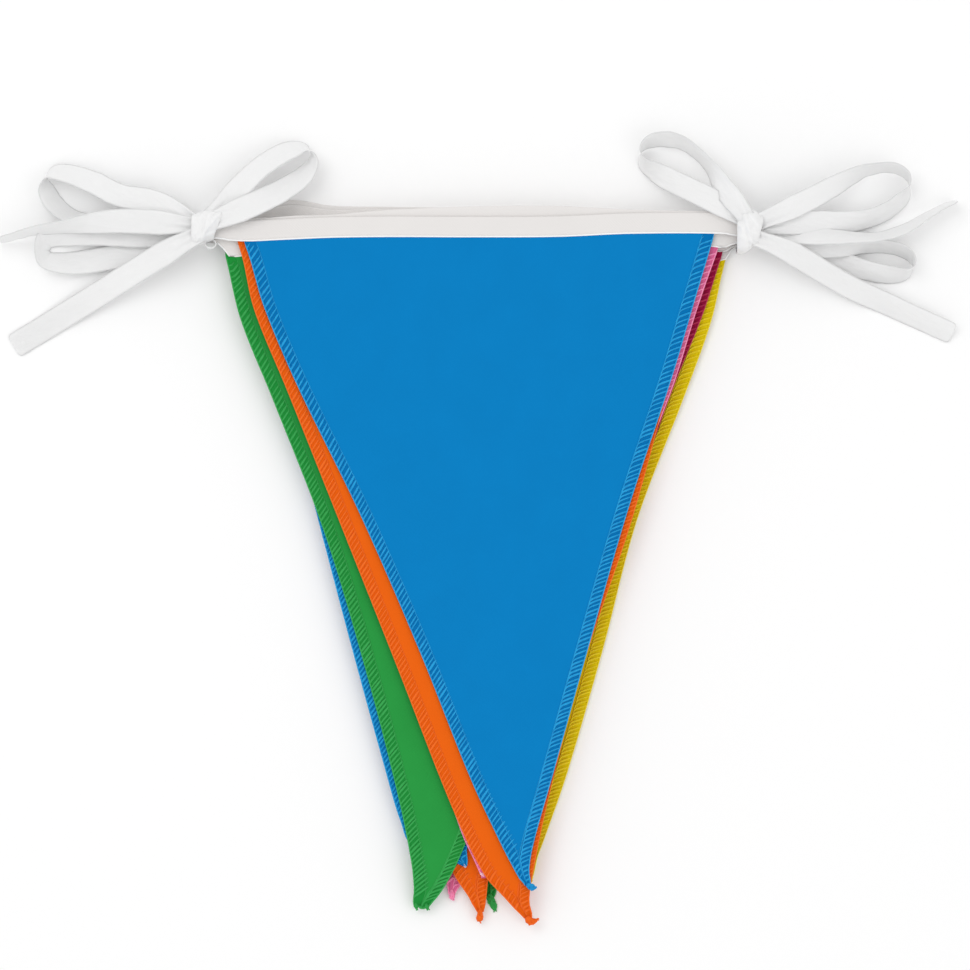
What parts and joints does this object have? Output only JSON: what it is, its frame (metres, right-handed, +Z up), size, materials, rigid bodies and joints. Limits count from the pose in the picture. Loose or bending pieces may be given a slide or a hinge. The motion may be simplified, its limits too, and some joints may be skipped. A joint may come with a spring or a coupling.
{
  "type": "fabric bunting",
  "caption": "String of triangular fabric pennants on a heading tape, folded into a flat stack and tied at both ends with ribbon bows.",
  "frame": {"origin": "bottom centre of the bounding box, on the surface that the folded bunting lies on", "axes": "+X along the heading tape, +Y from the pennant tips towards the heading tape, +Z up out of the stack"},
  "size_m": [0.4115, 0.3363, 0.0206],
  "materials": {
    "blue_cloth": "woven polyester, dyed bright blue, overlocked hems",
    "orange_cloth": "woven polyester, dyed orange, overlocked hems",
    "pink_cloth": "woven polyester, dyed pink, overlocked hems",
    "green_cloth": "woven polyester, dyed green, overlocked hems",
    "magenta_cloth": "woven polyester, dyed magenta, overlocked hems",
    "yellow_cloth": "woven polyester, dyed yellow, overlocked hems",
    "white_tape": "folded woven tape, off-white, stitched along its lower edge",
    "white_ribbon": "fine woven ribbon, white, slightly glossy"
  },
  "bodies": {
    "root": {"pennant_01_blue": "blue_cloth", "pennant_02_orange": "orange_cloth", "pennant_03_pink": "pink_cloth", "pennant_04_green": "green_cloth", "pennant_05_blue": "blue_cloth", "pennant_06_orange": "orange_cloth", "pennant_07_magenta": "magenta_cloth", "pennant_08_pink": "pink_cloth", "pennant_09_yellow": "yellow_cloth", "pennant_10_green": "green_cloth", "heading_tape": "white_tape", "tie_left": "white_ribbon", "tie_right": "white_ribbon"}
  },
  "joints": []
}
